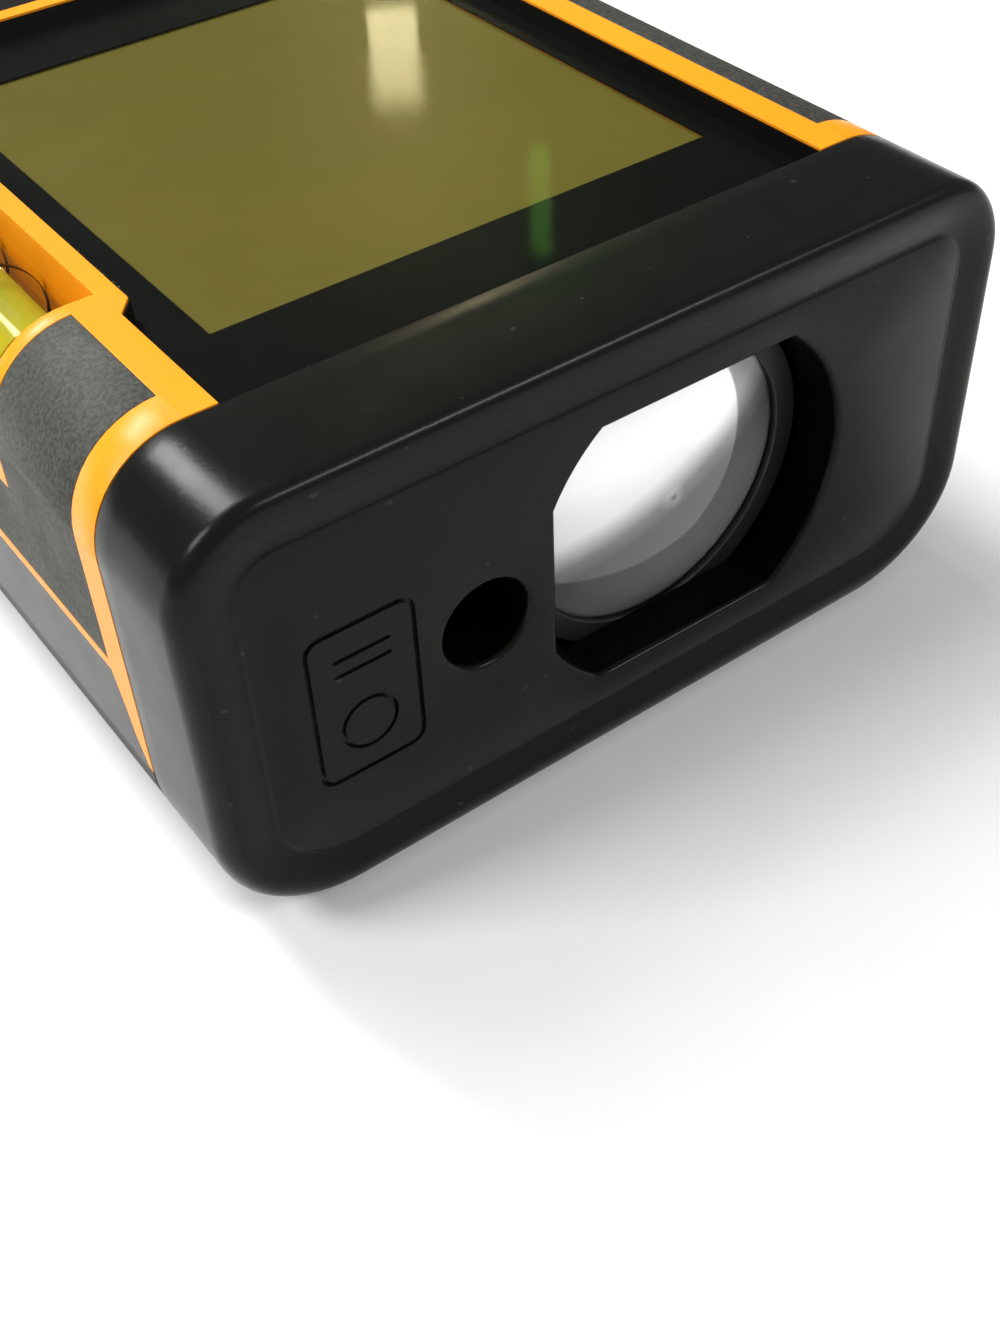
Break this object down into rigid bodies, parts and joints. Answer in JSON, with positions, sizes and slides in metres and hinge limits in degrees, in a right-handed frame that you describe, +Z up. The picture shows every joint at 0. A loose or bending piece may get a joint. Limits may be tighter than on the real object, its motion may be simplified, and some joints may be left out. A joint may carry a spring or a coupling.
{
  "type": "laser distance meter",
  "caption": "Handheld laser distance meter with a display window, rubber grips, keypad, spirit level, receiver lens and laser aperture in its front cap.",
  "frame": {"origin": "centre of the footprint, on the flat back", "axes": "+X across to the receiver lens side, +Y along the body to the rear measuring face, so the laser leaves towards -Y, +Z up out of the display"},
  "size_m": [0.054, 0.118, 0.0293],
  "materials": {
    "black_plastic": "satin black moulded plastic",
    "orange_plastic": "satin orange-yellow moulded plastic",
    "grip_rubber": "fine speckled texture",
    "clear_window": "polished clear acrylic",
    "mask_ink": "printed black",
    "lcd_panel": "unlit olive display film",
    "light_guide": "white",
    "silicone": "translucent matt",
    "gloss_black": "semi-gloss black",
    "button_orange": "satin orange silicone-coated key",
    "key_grey": "matt grey key",
    "spring_steel": "nickel plated",
    "circuit_board": "green solder mask",
    "chip_plastic": "moulded black",
    "lens_glass": "polished coated lens",
    "ring_plastic": "matt dark grey",
    "gilt_metal": "gold plated can",
    "tinned_steel": "tinned sheet",
    "flex_film": "amber polyimide film",
    "brass": "turned",
    "laser_filter": "dark filter glass",
    "vial_acrylic": "polished clear acrylic",
    "level_liquid": "yellow-green liquid",
    "bubble": "air bubble",
    "cell_jacket": "plain battery jacket",
    "screw_steel": "zinc plated",
    "label_film": "blank silver label"
  },
  "bodies": {
    "case": {"front_cap": "black_plastic", "upper_housing": "orange_plastic", "lower_housing": "black_plastic", "left_grip": "grip_rubber", "right_grip": "grip_rubber", "display_window": "clear_window", "window_mask": "mask_ink", "lcd_glass": "lcd_panel", "lcd_backlight": "light_guide", "lcd_connector": "silicone", "keypad_panel": "gloss_black", "key_mat": "silicone", "dome_switches": "spring_steel", "main_board": "circuit_board", "board_components": "chip_plastic", "buzzer": "chip_plastic", "optics_frame": "black_plastic", "receiver_lens": "lens_glass", "lens_ring": "ring_plastic", "receiver_sensor": "gilt_metal", "sensor_board": "circuit_board", "sensor_shield": "tinned_steel", "flex_cable": "flex_film", "laser_barrel": "brass", "laser_diode": "gilt_metal", "collimator_lens": "lens_glass", "laser_window": "laser_filter", "level_vial": "vial_acrylic", "level_liquid": "level_liquid", "level_rings": "mask_ink", "battery_left": "cell_jacket", "battery_right": "cell_jacket", "contact_springs": "spring_steel", "contact_plates": "spring_steel", "case_screws": "screw_steel", "rating_label": "label_film"},
    "measure": {"measure_button": "button_orange"},
    "plus": {"plus_key": "key_grey"},
    "minus": {"minus_key": "key_grey"},
    "area": {"area_key": "key_grey"},
    "unit": {"unit_key": "key_grey"},
    "reference": {"reference_key": "key_grey"},
    "memory": {"memory_key": "key_grey"},
    "light": {"light_key": "key_grey"},
    "power": {"power_key": "key_grey"},
    "bubble": {"level_bubble": "bubble"},
    "door": {"battery_door": "black_plastic"}
  },
  "joints": [
    {"name": "measure_press", "type": "slide", "parent": "case", "child": "measure", "axis": [0, 0, -1], "range_m": [0, 0.0006], "stiffness_N_per_m": 250},
    {"name": "plus_press", "type": "slide", "parent": "case", "child": "plus", "axis": [0, 0, -1], "range_m": [0, 0.0006], "stiffness_N_per_m": 200},
    {"name": "minus_press", "type": "slide", "parent": "case", "child": "minus", "axis": [0, 0, -1], "range_m": [0, 0.0006], "stiffness_N_per_m": 200},
    {"name": "area_press", "type": "slide", "parent": "case", "child": "area", "axis": [0, 0, -1], "range_m": [0, 0.0006], "stiffness_N_per_m": 200},
    {"name": "unit_press", "type": "slide", "parent": "case", "child": "unit", "axis": [0, 0, -1], "range_m": [0, 0.0006], "stiffness_N_per_m": 200},
    {"name": "reference_press", "type": "slide", "parent": "case", "child": "reference", "axis": [0, 0, -1], "range_m": [0, 0.0006], "stiffness_N_per_m": 200},
    {"name": "memory_press", "type": "slide", "parent": "case", "child": "memory", "axis": [0, 0, -1], "range_m": [0, 0.0006], "stiffness_N_per_m": 200},
    {"name": "light_press", "type": "slide", "parent": "case", "child": "light", "axis": [0, 0, -1], "range_m": [0, 0.0006], "stiffness_N_per_m": 200},
    {"name": "power_press", "type": "slide", "parent": "case", "child": "power", "axis": [0, 0, -1], "range_m": [0, 0.0006], "stiffness_N_per_m": 200},
    {"name": "bubble_drift", "type": "slide", "parent": "case", "child": "bubble", "axis": [0, 1, 0], "range_m": [-0.0035, 0.0035]},
    {"name": "door_slide", "type": "slide", "parent": "case", "child": "door", "axis": [0, 1, 0], "range_m": [0, 0.056]}
  ]
}
